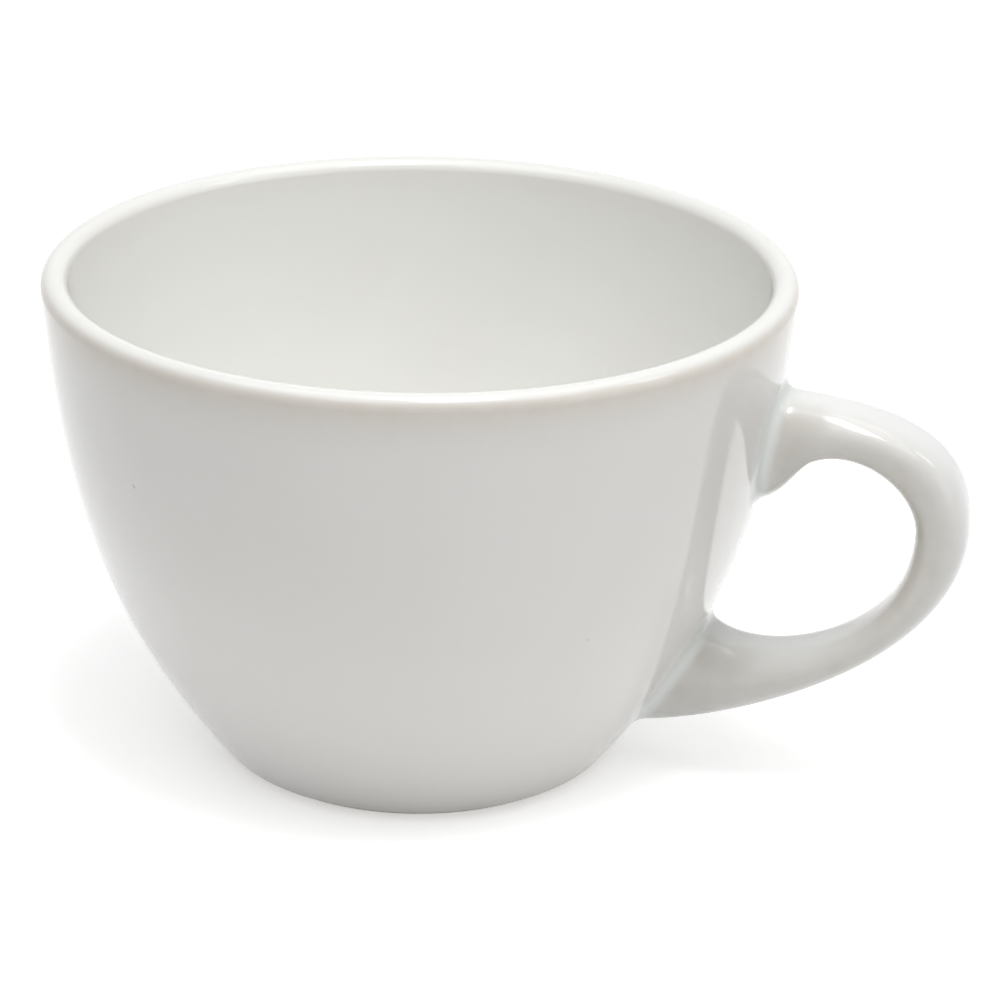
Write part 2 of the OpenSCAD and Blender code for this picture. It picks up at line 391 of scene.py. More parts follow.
def to_wall(points, out=0.0):
    """The points moved level onto the finished wall, or off it by a distance."""
    radius = np.linalg.norm(points[..., :2], axis=-1, keepdims=True)
    wanted = wall_radius(points[..., 2])[..., None] + out
    level = points[..., :2] / radius * wanted
    return np.concatenate([level, points[..., 2:]], -1)


def above_wall(points):
    """How far outside the finished wall the points are, measured level."""
    return np.linalg.norm(points[..., :2], axis=-1) - wall_radius(points[..., 2])


def wall_normals(points):
    z = points[..., 2]
    rise = (wall_radius(z + SLOPE_STEP) - wall_radius(z - SLOPE_STEP)) / (2 * SLOPE_STEP)
    radial = points[..., :2] / np.linalg.norm(points[..., :2], axis=-1, keepdims=True)
    normal = np.concatenate([radial, -rise[..., None]], -1)
    return normal / np.linalg.norm(normal, axis=-1, keepdims=True)


def along_line(line, distances):
    """The points of a line at some distances from its start."""
    step = np.linalg.norm(np.diff(line, axis=0), axis=1)
    length = np.r_[0, np.cumsum(step)]
    return np.stack([np.interp(distances, length, line[:, k]) for k in range(3)], -1)


def meeting(line):
    """How far along a line it passes out of the wall, as a length."""
    height = above_wall(line)
    i = int(np.argmax(height > 0))
    share = -height[i - 1] / (height[i] - height[i - 1])
    step = np.linalg.norm(np.diff(line, axis=0), axis=1)
    return float(step[: i - 1].sum() + share * step[i - 1])


# %% [markdown]
# ## Creases round the roots
# Glaze runs into the crease round each root and leaves a soft hollow there. Each line of the ear leaves its
# own path a little before the wall, and a cubic curve carries it round until it lies flat on the wall. A
# narrow skirt then follows the wall and sinks into it so slowly that no edge shows in the gloss.

# %% Creases round the roots
FILLET_STEPS, FILLET_CROWDING = 26, 1.7
CREASE_PULL, LOOK_BACK = 0.62, 0.2
SKIRT_STEPS = 4
SKIRT, RAISED, SUNK = 1.8, 0.002, 0.004


def rooted(rings, radius):
    """The rings with their first stretch turned into a crease that ends on the wall, one radius per line."""
    lines = rings.transpose(1, 0, 2)
    where = np.array([meeting(line) for line in lines])
    foot = np.array([along_line(line, w) for line, w in zip(lines, where)])
    tangent = np.roll(foot, -1, 0) - np.roll(foot, 1, 0)
    outward = np.cross(tangent, wall_normals(foot))
    outward /= np.linalg.norm(outward, axis=1)[:, None]
    middle = foot.mean(0)
    outward *= np.sign(np.sum(outward * (foot - middle), axis=1))[:, None]
    landing = to_wall(foot + outward * radius[:, None], RAISED)
    skirt = [to_wall(landing + outward * SKIRT * s, RAISED - (RAISED + SUNK) * s)
             for s in np.linspace(1, 0, SKIRT_STEPS, endpoint=False)]
    inward = foot - landing
    inward -= np.sum(inward * wall_normals(landing), axis=1)[:, None] * wall_normals(landing)
    inward /= np.linalg.norm(inward, axis=1)[:, None]
    total = np.array([np.linalg.norm(np.diff(line, axis=0), axis=1).sum() for line in lines])
    start = where + radius
    leave = np.array([along_line(line, s) for line, s in zip(lines, start)])
    before = np.array([along_line(line, s - LOOK_BACK) for line, s in zip(lines, start)])
    onward = (leave - before) / np.linalg.norm(leave - before, axis=1)[:, None]
    pull = CREASE_PULL * radius[:, None]
    crease = cubic([landing, landing + pull * inward, leave - pull * onward, leave],
                   np.linspace(0, 1, FILLET_STEPS)[:, None] ** FILLET_CROWDING)
    count = len(rings)
    share = np.linspace(0, 1, count)[1:]
    rest = np.array([along_line(line, s + share * (e - s)) for line, s, e in zip(lines, start, total)])
    return np.concatenate([skirt, crease, rest.transpose(1, 0, 2)]), foot


# %% [markdown]
# ## The skin of the handle
# The creases are wider on the handle's sides than above and below it. The upper one is a little wider at the
# handle's ridges too, and the lower one is wider above the handle than below. The two halves of the ear are
# rooted by themselves and joined at the furthest point.

# %% Rings of the handle's skin
CREASE = 1.3
UPPER_SIDES, UPPER_RIDGES, LOWER_SIDES, LOWER_TOP = 0.8, 0.3, 0.9, 0.2
RIDGE_ANGLE, RIDGE_SPREAD = 45, 25
half = ARCH_STEPS + 2
angles = np.linspace(0, 2 * np.pi, SECTION_SIDES, endpoint=False)
finished = ear_rings(glaze_t)
ridge_turn = (np.degrees(np.arccos(np.cos(angles))) - RIDGE_ANGLE) / RIDGE_SPREAD
upper_crease = CREASE + UPPER_SIDES * np.sin(angles) ** 2 + UPPER_RIDGES * np.exp(-(ridge_turn**2))
lower_crease = CREASE - LOWER_TOP * np.cos(angles) + LOWER_SIDES * np.sin(angles) ** 2
upper_half, upper_foot = rooted(finished[:half], upper_crease)
lower_half, lower_foot = rooted(finished[:half - 2:-1], lower_crease)
coat_rings = np.concatenate([upper_half, lower_half[::-1][1:]])
creases = np.concatenate([upper_crease, lower_crease])
print("rings of the coat:", len(coat_rings), "crease radius, mm:", round(float(creases.min()), 2), "to",
      round(float(creases.max()), 2))

# %% [markdown]
# ## Thin and pooled glaze, with painted shade and glints
# Melted glaze draws away from edges and gathers in hollows. So the bowl's coats are marked thin over the
# shoulders of the lip, and pooled on the wall beside the handle's roots and on the floor inside. Under the
# outer lip the thin mark also carries painted shade, where the shoulder turns away from the overhead light,
# and beside the roots the pool mark carries a lightened tone that is partly a painted glint. Distances
# are in millimetres and the lip's shoulder is given by angles round the lip.

# %% Thin and pooled glaze on the bowl
LIP_FADE, POOL_FADE, WELL_TOP = 9.0, 3.0, 17.0
SHOULDER_TOP, SHOULDER_BLEND = 60, 45
HANDLE_SIDE = 0.6 * foot_r
root_line = np.concatenate([upper_foot, lower_foot])


def lip_thin_and_shade(section, shoulder):
    """Full at the lip's shoulder, nothing over its crest, and fading down the wall."""
    angle = np.degrees(np.arctan2(section[:, 1] - lip_mid[1], np.abs(section[:, 0] - lip_mid[0])))
    off_crest = np.clip((SHOULDER_TOP - angle) / SHOULDER_BLEND, 0, 1)
    down_wall = np.clip(1 - (lip_mid[1] - section[:, 1]) / LIP_FADE, 0, 1)
    # The band marked here is painted a darker warm tone: partly thin glaze, partly painted shade under the
    # lip's shoulder.
    return shoulder * swell(off_crest) * down_wall**3


def wall_pool_and_glint(points):
    """Pooled on the wall round the handle's roots, in a lightened tone that is partly a painted glint."""
    pool_and_glint = np.zeros(len(points))
    near = np.flatnonzero(points[:, 0] > HANDLE_SIDE)
    for k in range(0, len(root_line), 2):
        gap = np.linalg.norm(points[near] - root_line[k], axis=1)
        pool_and_glint[near] = np.maximum(pool_and_glint[near], np.clip(1 - gap / POOL_FADE, 0, 1))
    return swell(pool_and_glint)


def well_pool(points):
    """Pooled on the inside floor, fading up the turn into the wall."""
    return swell(np.clip((WELL_TOP - points[:, 2]) / (WELL_TOP - floor_z), 0, 1))


print("glaze pools up to", POOL_FADE, "mm from the roots and up to", WELL_TOP, "mm inside")

# %% [markdown]
# ## Thin, pooled and dry glaze on the handle, with painted shade on its sides
# The handle's coat is marked thin on its sides and along its ridges, and pooled in the creases round its
# roots. On its sides and under the upper arm that darker tone is partly thin glaze and partly painted shade,
# and the faces that look up are left light. Where it is thinnest, beside the roots, it also fires a little
# dry. Places along the handle are shares of the way from the upper root to the lower.

# %% Values for the handle's coat
ROOT_SHARE, ROOT_BLEND = 0.203, 0.035
LOWER_ARM, LOWER_ARM_BLEND = 0.55, 0.2
SIDE_THIN_AND_SHADE, TOE_COVER = 0.68, 0.4
RIDGE_THIN, ROOT_RIDGE_THIN = 0.1, 0.3
THIN_BLEND, DRY_START, DRY_BLEND = 1.6, 1.6, 1.0
POOL_LEVEL, CLIMB_WEIGHT = 0.6, 0.8
along_ear = np.linspace(0, 1, len(coat_rings))[:, None]
on_upper_arm = along_ear < 0.5
near_root = swell(np.clip((ROOT_SHARE - np.minimum(along_ear, 1 - along_ear)) / ROOT_BLEND, 0, 1))
ridge = np.abs(np.sin(2 * angles)) ** 2


def coat_pool_and_glint():
    """Pooled in the creases and a little way up the handle's roots, in a lightened tone that is partly a
    painted glint.
    """
    gap = np.full(coat_rings.shape[:2], np.inf)
    for k in range(0, len(root_line), 2):
        gap = np.minimum(gap, np.linalg.norm(coat_rings - root_line[k], axis=2))
    climb = np.clip(above_wall(coat_rings) - POOL_LEVEL, 0, None)
    return swell(np.clip(1 - (gap + CLIMB_WEIGHT * climb) / POOL_FADE, 0, 1))


def coat_thin_and_shade(pool_and_glint):
    """Thin along the ridges into the roots; on the sides partly thin glaze, partly painted shade; full on
    faces that look up.
    """
    lower_arm = swell(np.clip((along_ear - LOWER_ARM) / LOWER_ARM_BLEND, 0, 1))
    outer_face, hole_face = np.clip(np.cos(angles), 0, 1), np.clip(-np.cos(angles), 0, 1)
    # Partly painted shade: the sides and the underside of the upper arm take the darker thin tone, the faces
    # that look up don't.
    side = SIDE_THIN_AND_SHADE * (1 - outer_face - np.maximum(lower_arm, TOE_COVER * near_root) * hole_face)
    looks_up = np.where(on_upper_arm, np.cos(angles) > 0, np.cos(angles) < 0)
    ridges = ridge * (RIDGE_THIN + ROOT_RIDGE_THIN * near_root * looks_up)
    away = np.clip(above_wall(coat_rings) / THIN_BLEND, 0, 1)
    return swell(away) * (side + ridges) * (1 - pool_and_glint)


def coat_dry():
    """Beside each root, above all the upper one, where thin glaze fires dry and dull."""
    away = np.clip((above_wall(coat_rings) - DRY_START) / DRY_BLEND, 0, 1)
    return swell(away) * near_root * np.where(on_upper_arm, 1.0, ridge)


crease_pool_and_glint = coat_pool_and_glint()
coat_values = {"thin_and_shade": coat_thin_and_shade(crease_pool_and_glint), "pool_and_glint": crease_pool_and_glint, "dry": coat_dry()}
print("mean values on the handle:", {label: round(float(v.mean()), 3) for label, v in coat_values.items()})

# %% [markdown]
# ## The turned pieces
# Four pieces come off the wheel: the clay bowl, which only shows at its bare foot, the coat inside, the coat
# outside and the coat in the recess of the foot. Each coat is a closed skin as thick as real glaze.

# %% Turn the bowl and its coats
OUTSIDE_SHOULDER, INSIDE_SHOULDER = 1.0, 0.15


def coat(name, section_of, thin_and_shade_of, pool_at=None):
    """A turned coat from its finished surface down to the clay."""
    skin, back = section_of(0.0), section_of(glaze_t)[::-1]
    section = np.concatenate([skin, back])
    thin_and_shade = np.concatenate([thin_and_shade_of(skin), np.zeros(len(back))])
    return turned(name, section, thin_and_shade, pool_at)


outside_coat = coat("outside_coat", outside_section, lambda s: lip_thin_and_shade(s, OUTSIDE_SHOULDER), wall_pool_and_glint)
inside_coat = coat("inside_coat", inside_section, lambda s: lip_thin_and_shade(s, INSIDE_SHOULDER), well_pool)
recess_coat = coat("recess_coat", recess_section, lambda s: np.zeros(len(s)))
clay_section = np.concatenate([
    inside_section(glaze_t)[::-1], outside_section(glaze_t)[1:],
    bare_foot_section(), recess_section(glaze_t)[1:],
])
clay_bowl = turned("clay_bowl", clay_section, np.zeros(len(clay_section)))

# %% [markdown]
# ## The handle's coat
# The coat is a tube: its outer skin is the set of rings with creases at both ends, its inner skin is the
# clay handle's surface, and a band at each root closes it against the wall.

# %% Build the handle's coat
CLAY_CREASE = 0.02


def tube(name, skin, back, skin_values):
    """A closed tube with an outer and an inner skin. Only the outer one carries values."""
    sides = skin.shape[1]
    points = np.concatenate([skin.reshape(-1, 3), back.reshape(-1, 3)])
    shift = len(skin) * sides
    faces = []
    for base, count in ((0, len(skin)), (shift, len(back))):
        for i in range(count - 1):
            for j in range(sides):
                a, b = base + i * sides + j, base + i * sides + (j + 1) % sides
                faces.append((a, b, b + sides, a + sides))
    for one, other in ((0, shift), ((len(skin) - 1) * sides, shift + (len(back) - 1) * sides)):
        for j in range(sides):
            n = (j + 1) % sides
            faces.append((one + j, one + n, other + n, other + j))
    hidden = np.zeros(len(back) * sides)
    values = {label: np.concatenate([amounts.ravel(), hidden]) for label, amounts in skin_values.items()}
    return finish_mesh(name, points, faces, values)


clay_rings = ear_rings(0.0)
clay_crease = np.full(SECTION_SIDES, CLAY_CREASE)
clay_upper, clay_upper_foot = rooted(clay_rings[:half], clay_crease)
clay_lower, clay_lower_foot = rooted(clay_rings[:half - 2:-1], clay_crease)
first_free = SKIRT_STEPS + FILLET_STEPS
back_rings = np.concatenate([
    to_wall(clay_upper_foot, -glaze_t)[None], clay_upper[first_free:],
    clay_lower[first_free:][::-1][1:], to_wall(clay_lower_foot, -glaze_t)[None],
])
handle_coat = tube("handle_coat", coat_rings, back_rings, coat_values)

# %% [markdown]
# ## Building materials from nodes
# Every material here is a small network of nodes. These helpers each add one node, set its numbers, link what
# goes into it and give back what comes out of it.

# %% Node helpers
COLOUR, VALUE = "NodeSocketColor", "NodeSocketFloat"
MIX_AMOUNT, MIX_FIRST, MIX_SECOND, MIX_RESULT = 0, 6, 7, 2


def linear(red, green, blue):
    """A colour as a picture shows it, 0 to 255, turned into the linear values that shaders use."""
    parts = [v / 255 for v in (red, green, blue)]
    return [v / 12.92 if v <= 0.04045 else ((v + 0.055) / 1.055) ** 2.4 for v in parts] + [1.0]


def new_group(name, inputs, outputs):
    """An empty node group with its sockets."""
    tree = bpy.data.node_groups.new(name, "ShaderNodeTree")
    for label, kind, value in inputs:
        socket = tree.interface.new_socket(label, in_out="INPUT", socket_type=kind)
        socket.default_value = value
    for label, kind in outputs:
        tree.interface.new_socket(label, in_out="OUTPUT", socket_type=kind)
    return tree, tree.nodes.new("NodeGroupInput"), tree.nodes.new("NodeGroupOutput")


def attribute(tree, label):
    """A value that the points of the mesh carry."""
    node = tree.nodes.new("ShaderNodeAttribute")
    node.attribute_name = label
    return node.outputs["Fac"]


def noise(tree, scale, detail, coordinates):
    node = tree.nodes.new("ShaderNodeTexNoise")
    node.inputs["Scale"].default_value = scale
    node.inputs["Detail"].default_value = detail
    tree.links.new(coordinates, node.inputs["Vector"])
    return node.outputs["Fac"]


def math_node(tree, kind, first, second):
    node = tree.nodes.new("ShaderNodeMath")
    node.operation = kind
    for socket, value in zip(node.inputs, (first, second)):
        if isinstance(value, (int, float)):
            socket.default_value = value
        else:
            tree.links.new(value, socket)
    return node.outputs["Value"]


def mix_colour(tree, amount, first, second):
    node = tree.nodes.new("ShaderNodeMix")
    node.data_type = "RGBA"
    for index, value in ((MIX_AMOUNT, amount), (MIX_FIRST, first), (MIX_SECOND, second)):
        if isinstance(value, (int, float, list)):
            node.inputs[index].default_value = value
        else:
            tree.links.new(value, node.inputs[index])
    return node.outputs[MIX_RESULT]


def ramp(tree, value, low, high):
    """Eases a value from 0 at its low end to 1 at its high end."""
    node = tree.nodes.new("ShaderNodeMapRange")
    node.interpolation_type = "SMOOTHSTEP"
    node.inputs["From Min"].default_value = low
    node.inputs["From Max"].default_value = high
    tree.links.new(value, node.inputs["Value"])
    return node.outputs["Result"]


def object_coordinates(tree):
    return tree.nodes.new("ShaderNodeTexCoord").outputs["Object"]


# %% [markdown]
# ## What glaze is made of
# White glaze is a layer of glass over pale clay. Its colour isn't quite even: it is warmer where it is thin
# and the clay shows through, cooler and a little darker where it has pooled, and it clouds very slightly
# from place to place. The thin tone is darker than thin glaze alone, partly as painted shade under the lip
# and on the handle's sides, and the pool tone round the handle's roots is lightened, partly as painted
# glints in the creases. Over the crest of the lip the coats run together, so there they share one tone.
# Four coats share this, so it is one node group, with the colours as its inputs.

# %% The glaze tone group
CLOUD_SCALE, CLOUD_RANGE = 38, (0.3, 0.75)
PATCH_SCALE, PATCH_RANGE = 420, (0.25, 0.8)
CREST_RISE = 0.3
glaze_tone, tone_in, tone_out = new_group(
    "glaze_tone",
    [
        ("Body", COLOUR, linear(230, 229, 226)),
        ("Crest", COLOUR, linear(237, 237, 234)),
        # Darker than thin glaze alone: partly painted shade, for the band under the lip.
        ("Thin and shade", COLOUR, linear(218, 211, 201)),
        # Lightened, partly as painted glints in the creases round the handle's roots.
        ("Pool and glint", COLOUR, linear(226, 230, 226)),
        ("Cloud", VALUE, 0.10),
        ("Patchiness", VALUE, 0.25),
    ],
    [("Color", COLOUR)],
)
place = object_coordinates(glaze_tone)
cloud = ramp(glaze_tone, noise(glaze_tone, CLOUD_SCALE, 3, place), *CLOUD_RANGE)
cloud = math_node(glaze_tone, "MULTIPLY", cloud, tone_in.outputs["Cloud"])
patches = ramp(glaze_tone, noise(glaze_tone, PATCH_SCALE, 2, place), *PATCH_RANGE)
gaps = math_node(glaze_tone, "SUBTRACT", 1, patches)
gaps = math_node(glaze_tone, "MULTIPLY", gaps, tone_in.outputs["Patchiness"])
kept = math_node(glaze_tone, "SUBTRACT", 1, gaps)
thin_and_shade_patchy = math_node(glaze_tone, "MULTIPLY", attribute(glaze_tone, "thin_and_shade"), kept)
split = glaze_tone.nodes.new("ShaderNodeSeparateXYZ")
glaze_tone.links.new(place, split.inputs["Vector"])
crest = ramp(glaze_tone, split.outputs["Z"], (lip_mid[1] + CREST_RISE * lip_r) * MM, cup_h * MM)
tone = mix_colour(glaze_tone, crest, tone_in.outputs["Body"], tone_in.outputs["Crest"])
tone = mix_colour(glaze_tone, cloud, tone, tone_in.outputs["Thin and shade"])
tone = mix_colour(glaze_tone, thin_and_shade_patchy, tone, tone_in.outputs["Thin and shade"])
tone = mix_colour(glaze_tone, attribute(glaze_tone, "pool_and_glint"), tone, tone_in.outputs["Pool and glint"])
glaze_tone.links.new(tone, tone_out.inputs["Color"])
print("group", glaze_tone.name, "with", len(glaze_tone.nodes), "nodes")

# %% [markdown]
# ## The skin of the glaze
# Fired glaze is glossy, but its surface keeps a faint unevenness, like the skin of an orange, and a few pin
# holes and dark specks. They are far too small to model, so a second group gives a height for a Bump node,
# a slightly uneven roughness and a mask for the specks. It also gives the strength of the shine, because
# glaze that has fired dry is a little rougher and reflects less.

# %% The glaze skin group
PEEL_SCALE, PEEL_SHARE, RIPPLE_SCALE, UNEVEN_SCALE = 260, 0.45, 70, 150
SPECK_SCALE, SPECK_SIZE, PIN_DEPTH = 95, 0.045, 0.5
CLUSTER_SCALE, CLUSTER_RANGE = 60, (0.52, 0.75)
FULL_SHINE, DRY_SHINE_LOSS, DRY_ROUGHNESS = 0.5, 0.4, 0.14
glaze_skin, skin_in, skin_out = new_group(
    "glaze_skin",
    [("Gloss", VALUE, 0.07), ("Unevenness", VALUE, 0.05), ("Specks", VALUE, 0.25)],
    [("Height", VALUE), ("Roughness", VALUE), ("Shine", VALUE), ("Speck", VALUE)],
)
place = object_coordinates(glaze_skin)
peel = noise(glaze_skin, PEEL_SCALE, 2, place)
ripple = noise(glaze_skin, RIPPLE_SCALE, 2, place)
speckle = glaze_skin.nodes.new("ShaderNodeTexVoronoi")
speckle.inputs["Scale"].default_value = SPECK_SCALE
glaze_skin.links.new(place, speckle.inputs["Vector"])
cluster = ramp(glaze_skin, noise(glaze_skin, CLUSTER_SCALE, 1, place), *CLUSTER_RANGE)
speck_size = math_node(glaze_skin, "MULTIPLY", cluster, SPECK_SIZE)
speck = math_node(glaze_skin, "LESS_THAN", speckle.outputs["Distance"], speck_size)
speck = math_node(glaze_skin, "MULTIPLY", speck, skin_in.outputs["Specks"])
height = math_node(glaze_skin, "ADD", math_node(glaze_skin, "MULTIPLY", peel, PEEL_SHARE), ripple)
height = math_node(glaze_skin, "SUBTRACT", height, math_node(glaze_skin, "MULTIPLY", speck, PIN_DEPTH))
dry = attribute(glaze_skin, "dry")
uneven = noise(glaze_skin, UNEVEN_SCALE, 4, place)
uneven = math_node(glaze_skin, "MULTIPLY", uneven, skin_in.outputs["Unevenness"])
rough = math_node(glaze_skin, "ADD", skin_in.outputs["Gloss"], uneven)
rough = math_node(glaze_skin, "ADD", rough, math_node(glaze_skin, "MULTIPLY", dry, DRY_ROUGHNESS))
shine_loss = math_node(glaze_skin, "MULTIPLY", dry, DRY_SHINE_LOSS)
shine = math_node(glaze_skin, "SUBTRACT", FULL_SHINE, shine_loss)
for label, value in (("Height", height), ("Roughness", rough), ("Shine", shine), ("Speck", speck)):
    glaze_skin.links.new(value, skin_out.inputs[label])
print("group", glaze_skin.name, "with", len(glaze_skin.nodes), "nodes")

# %% [markdown]
# ## The glazes
# Inside, outside, handle and recess each take the two groups with their own values. The coat poured inside is
# a little thicker and whiter. On the handle the thin tone is darker than on the bowl: partly the clay showing
# through more on its edges, partly painted shade on its sides.

# %% Make the glaze materials
PEEL_DEPTH = 0.00002
GLAZE_IOR = 1.56
SPECK_COLOUR = linear(150, 138, 120)


def place_group(tree, group, values):
    node = tree.nodes.new("ShaderNodeGroup")
    node.node_tree = group
    for label, value in values.items():
        node.inputs[label].default_value = value
    return node


def new_material(name):
    material = bpy.data.materials.new(name)
    material.use_nodes = True
    return material, material.node_tree, material.node_tree.nodes["Principled BSDF"]


def glaze(name, tone_values, skin_values):
    material, tree, shader = new_material(name)
    colour = place_group(tree, glaze_tone, tone_values)
    skin = place_group(tree, glaze_skin, skin_values)
    specked = mix_colour(tree, skin.outputs["Speck"], colour.outputs["Color"], SPECK_COLOUR)
    bump = tree.nodes.new("ShaderNodeBump")
    bump.inputs["Distance"].default_value = PEEL_DEPTH
    tree.links.new(skin.outputs["Height"], bump.inputs["Height"])
    tree.links.new(specked, shader.inputs["Base Color"])
    tree.links.new(skin.outputs["Roughness"], shader.inputs["Roughness"])
    tree.links.new(skin.outputs["Shine"], shader.inputs["Specular IOR Level"])
    tree.links.new(bump.outputs["Normal"], shader.inputs["Normal"])
    shader.inputs["IOR"].default_value = GLAZE_IOR
    return material


outside_glaze = glaze("outside_white_glaze", {}, {})
inside_tones = {"Body": linear(241, 241, 238), "Pool and glint": linear(222, 222, 218)}
inside_glaze = glaze("inside_white_glaze", inside_tones, {"Specks": 0.12})
# The handle's darker thin tone is partly painted shade on its sides.
handle_tones = {"Body": linear(233, 234, 233), "Thin and shade": linear(194, 188, 178), "Patchiness": 0.15}
handle_glaze = glaze("handle_white_glaze", handle_tones, {})
recess_tones = {"Body": linear(226, 224, 217), "Cloud": 0.3}
recess_glaze = glaze("recess_white_glaze", recess_tones, {"Unevenness": 0.12})
print("glazes:", outside_glaze.name, inside_glaze.name, handle_glaze.name, recess_glaze.name)

# %% [markdown]
# ## Bare clay and slip
# The standing ring is bare: fine grained, matt and creamier than the glaze, softly mottled and with a few
# darker grains. Slip is the same clay without the sand.

# %% Make the clay materials
MOTTLE_RANGE, MOTTLE_SHARE = (0.35, 0.7), 0.5
GRIT_RANGE, GRIT_FINENESS = (0.62, 0.75), 6
GRIT_COLOUR = linear(150, 132, 110)
GRAIN_FINENESS, GRAIN_DEPTH = 8, 0.00005
CLAY_ROUGHNESS, MOTTLE_ROUGHNESS = 0.7, 0.15


def clay(name, body, mottled, grain_scale, grit):
    material, tree, shader = new_material(name)
    place = object_coordinates(tree)
    mottle = ramp(tree, noise(tree, grain_scale, 5, place), *MOTTLE_RANGE)
    grains = ramp(tree, noise(tree, grain_scale * GRIT_FINENESS, 2, place), *GRIT_RANGE)
    colour = mix_colour(tree, math_node(tree, "MULTIPLY", mottle, MOTTLE_SHARE), body, mottled)
    colour = mix_colour(tree, math_node(tree, "MULTIPLY", grains, grit), colour, GRIT_COLOUR)
    bump = tree.nodes.new("ShaderNodeBump")
    bump.inputs["Distance"].default_value = GRAIN_DEPTH
    tree.links.new(noise(tree, grain_scale * GRAIN_FINENESS, 4, place), bump.inputs["Height"])
    rough = math_node(tree, "ADD", math_node(tree, "MULTIPLY", mottle, MOTTLE_ROUGHNESS), CLAY_ROUGHNESS)
    tree.links.new(colour, shader.inputs["Base Color"])
    tree.links.new(rough, shader.inputs["Roughness"])
    tree.links.new(bump.outputs["Normal"], shader.inputs["Normal"])
    return material


bare_clay = clay("bare_fired_clay", linear(224, 214, 198), linear(206, 192, 172), 180, 0.5)
fired_slip = clay("fired_slip", linear(220, 210, 193), linear(208, 196, 176), 260, 0.1)
print("clays:", bare_clay.name, fired_slip.name)

# %% [markdown]
# ## Putting the pieces on the model
# Each fine mesh stands for one solid, which stays in the model for weight and contact but isn't shown. The
# clay handle and the two layers of slip are fully covered, so their solids stay as they are.

# %% Assign finishes and places
PIECES = (
    (clay_bowl, bare_clay, "bowl", "clay_body"),
    (outside_coat, outside_glaze, "outside_glaze", "white_glaze"),
    (inside_coat, inside_glaze, "inside_glaze", "white_glaze"),
    (handle_coat, handle_glaze, "handle_glaze", "white_glaze"),
    (recess_coat, recess_glaze, "foot_recess_glaze", "white_glaze"),
)
for piece, material, node, slot_name in PIECES:
    piece.data.materials.append(material)
    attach(piece, "root")
    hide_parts(node)
COVERED = (("handle", bare_clay), ("upper_slip_joint", fired_slip), ("lower_slip_joint", fired_slip))
for node, material in COVERED:
    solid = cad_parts[node]
    for slot_here in solid.material_slots:
        slot_here.material = material
print("pieces:", [piece.name for piece, *_ in PIECES], "covered solids:", [node for node, _ in COVERED])

# %% [markdown]
# ## The table
# The cup stands on a plain white table. The table is matt and white, with a little light of its own for the
# eye alone, so that it reads as white paper and still holds the cup's shadow. Further out, where the lamps
# reach it less, it has a little more of that light.

# %% Floor
FLOOR_SIZE = 3.0
TABLE_COLOUR, WHITE = (0.92, 0.92, 0.92, 1), (1, 1, 1, 1)
NEAR_CUP, FAR_OUT = 0.3, 0.9
GLOW_NEAR, GLOW_FAR = 0.5, 0.85


def seen_directly(tree):
    """One where the camera, a reflection or glass looks at it, and zero for the light that it gives."""
    rays = tree.nodes.new("ShaderNodeLightPath")
    seen = math_node(tree, "MAXIMUM", rays.outputs["Is Camera Ray"], rays.outputs["Is Glossy Ray"])
    return math_node(tree, "MAXIMUM", seen, rays.outputs["Is Transmission Ray"])


floor_mesh = bpy.data.meshes.new("floor")
reach = FLOOR_SIZE / 2
floor_corners = [(-reach, -reach, 0), (reach, -reach, 0), (reach, reach, 0), (-reach, reach, 0)]
floor_mesh.from_pydata(floor_corners, [], [(0, 1, 2, 3)])
floor = bpy.data.objects.new("floor", floor_mesh)
bpy.context.scene.collection.objects.link(floor)
white_table, tree, shader = new_material("white_table")
shader.inputs["Base Color"].default_value = TABLE_COLOUR
shader.inputs["Roughness"].default_value = 1.0
shader.inputs["Specular IOR Level"].default_value = 0.0
shader.inputs["Emission Color"].default_value = WHITE
from_cup = tree.nodes.new("ShaderNodeVectorMath")
from_cup.operation = "LENGTH"
tree.links.new(object_coordinates(tree), from_cup.inputs[0])
further_out = ramp(tree, from_cup.outputs["Value"], NEAR_CUP, FAR_OUT)
glow = math_node(tree, "ADD", math_node(tree, "MULTIPLY", further_out, GLOW_FAR - GLOW_NEAR), GLOW_NEAR)
tree.links.new(math_node(tree, "MULTIPLY", seen_directly(tree), glow), shader.inputs["Emission Strength"])
floor.data.materials.append(white_table)
print("floor", FLOOR_SIZE, "m, glow", GLOW_NEAR, "to", GLOW_FAR)

# %% [markdown]
# ## The room
# The room gives a weak, even light. To the eye and in the gloss its walls are white, as a studio's paper is,
# and that puts no more light on the cup.

# %% World
ROOM_LIGHT = 0.25
world = bpy.data.worlds.new("white_studio")
bpy.context.scene.world = world
world.use_nodes = True
tree = world.node_tree
backdrop = tree.nodes["Background"]
backdrop.inputs["Color"].default_value = WHITE
lift = math_node(tree, "MULTIPLY", seen_directly(tree), 1 - ROOM_LIGHT)
tree.links.new(math_node(tree, "ADD", lift, ROOM_LIGHT), backdrop.inputs["Strength"])
print("room light", ROOM_LIGHT)

# %% [markdown]
# ## Camera
# The photograph looks down on the cup at about 23 degrees, with the handle to the right and swung a little
# towards the camera, which itself is tipped by half a degree. The cup sits left of the middle of the picture,
# which a lens shift gives without turning the camera.

# %% Place the camera
CAMERA_AZIMUTH, CAMERA_ELEVATION, CAMERA_DISTANCE = 16.0, 22.97, 0.42
CAMERA_ROLL = 0.53
IMAGE_SIDE, FOCAL_PIXELS, SENSOR = 1000, 3242, 36.0
AIM_PIXEL, AIM_HEIGHT = (417.9, 504.9), 0.032
NEAREST_SEEN = 0.01
aim = Vector((0, 0, AIM_HEIGHT))


def view_direction(azimuth, elevation):
    """From the cup towards a place, by its turn from the front and its height in degrees."""
    a, e = math.radians(azimuth), math.radians(elevation)
    return Vector((math.sin(a) * math.cos(e), -math.cos(a) * math.cos(e), math.sin(e)))


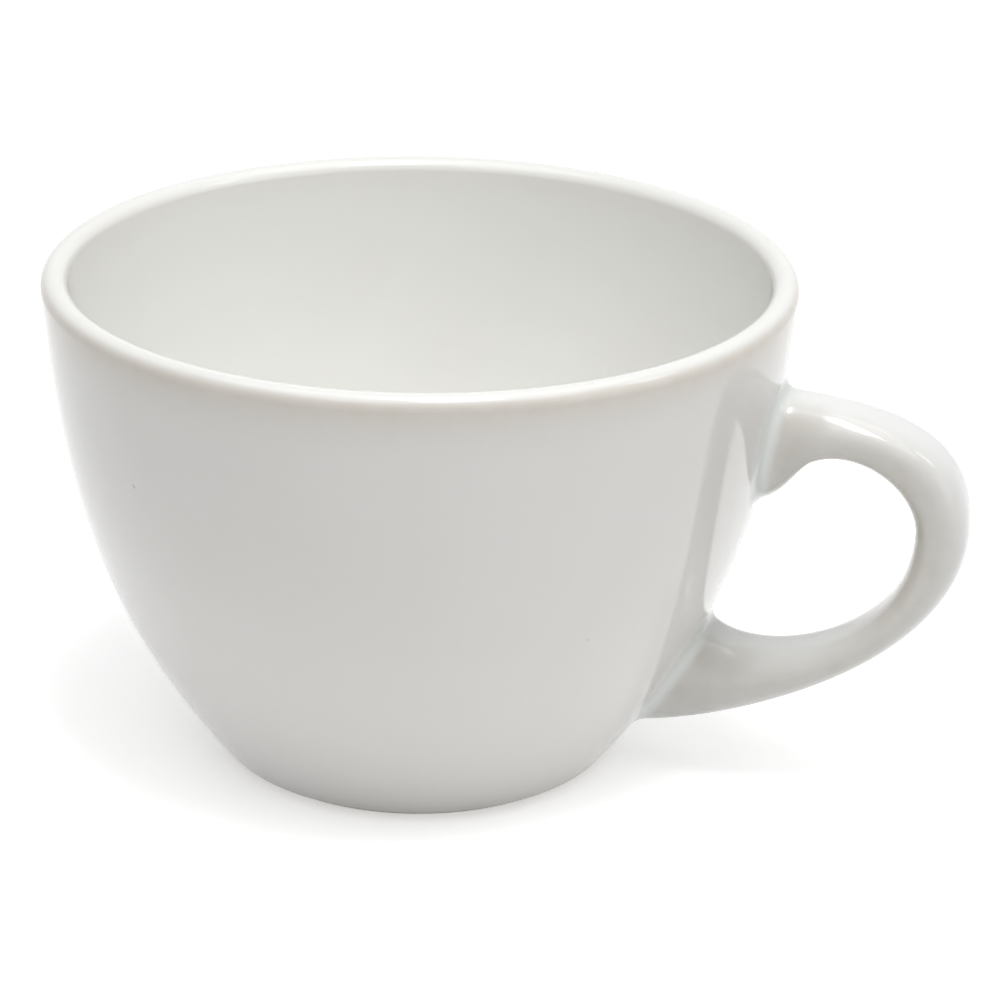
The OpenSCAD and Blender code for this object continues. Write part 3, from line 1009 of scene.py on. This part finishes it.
camera = bpy.data.objects.new("camera", bpy.data.cameras.new("camera"))
bpy.context.scene.collection.objects.link(camera)
camera.location = aim + view_direction(CAMERA_AZIMUTH, CAMERA_ELEVATION) * CAMERA_DISTANCE
camera.rotation_euler = (aim - camera.location).to_track_quat("-Z", "Y").to_euler()
camera.rotation_euler.rotate_axis("Z", math.radians(CAMERA_ROLL))
camera.data.sensor_width = SENSOR
camera.data.lens = FOCAL_PIXELS * SENSOR / IMAGE_SIDE
camera.data.shift_x = 0.5 - AIM_PIXEL[0] / IMAGE_SIDE
camera.data.shift_y = AIM_PIXEL[1] / IMAGE_SIDE - 0.5
camera.data.clip_start = NEAREST_SEEN
bpy.context.scene.camera = camera
shift = (round(camera.data.shift_x, 4), round(camera.data.shift_y, 4))
print("lens, mm:", round(camera.data.lens, 1), "shift:", shift)

# %% [markdown]
# ## Lamps
# A wide soft panel hangs over the cup with a small bright box below it, which gives the crisp highlight on
# the handle. To the right of the camera a low box lifts that side of the bowl, and beside the handle is a
# small window. The lamps show in the gloss of the glaze, but the camera itself doesn't see them.

# %% Place the lamps


def soft_box(name, azimuth, elevation, distance, width, height, brightness):
    """A soft box facing the cup. Its brightness is what its face shows, where one is white paper."""
    lamp = bpy.data.lights.new(name, "AREA")
    lamp.shape = "RECTANGLE"
    lamp.size, lamp.size_y = width, height
    lamp.energy = brightness * math.pi * width * height
    box = bpy.data.objects.new(name, lamp)
    box.visible_camera = False
    bpy.context.scene.collection.objects.link(box)
    box.location = aim + view_direction(CAMERA_AZIMUTH + azimuth, elevation) * distance
    box.rotation_euler = (aim - box.location).to_track_quat("-Z", "Y").to_euler()
    return box


# Each row: name, turn from the camera, elevation, distance, width, height, brightness
LAMPS = (
    ("ceiling_panel", 10, 80, 0.75, 0.9, 0.9, 1.25),
    ("overhead_box", 20, 76.7, 0.6, 0.17, 0.28, 9.5),
    ("right_box", 58, 14, 0.8, 0.5, 0.4, 0.55),
    ("side_window", 83, 43, 0.8, 0.16, 0.22, 2.6),
)
lamps = [soft_box(*row) for row in LAMPS]
print("lamps, watts:", {box.name: round(box.data.energy, 2) for box in lamps})

# %% [markdown]
# ## Colour
# The picture is shown as the numbers say, with no film look.

# %% Finish
bpy.context.scene.view_settings.view_transform = "Standard"
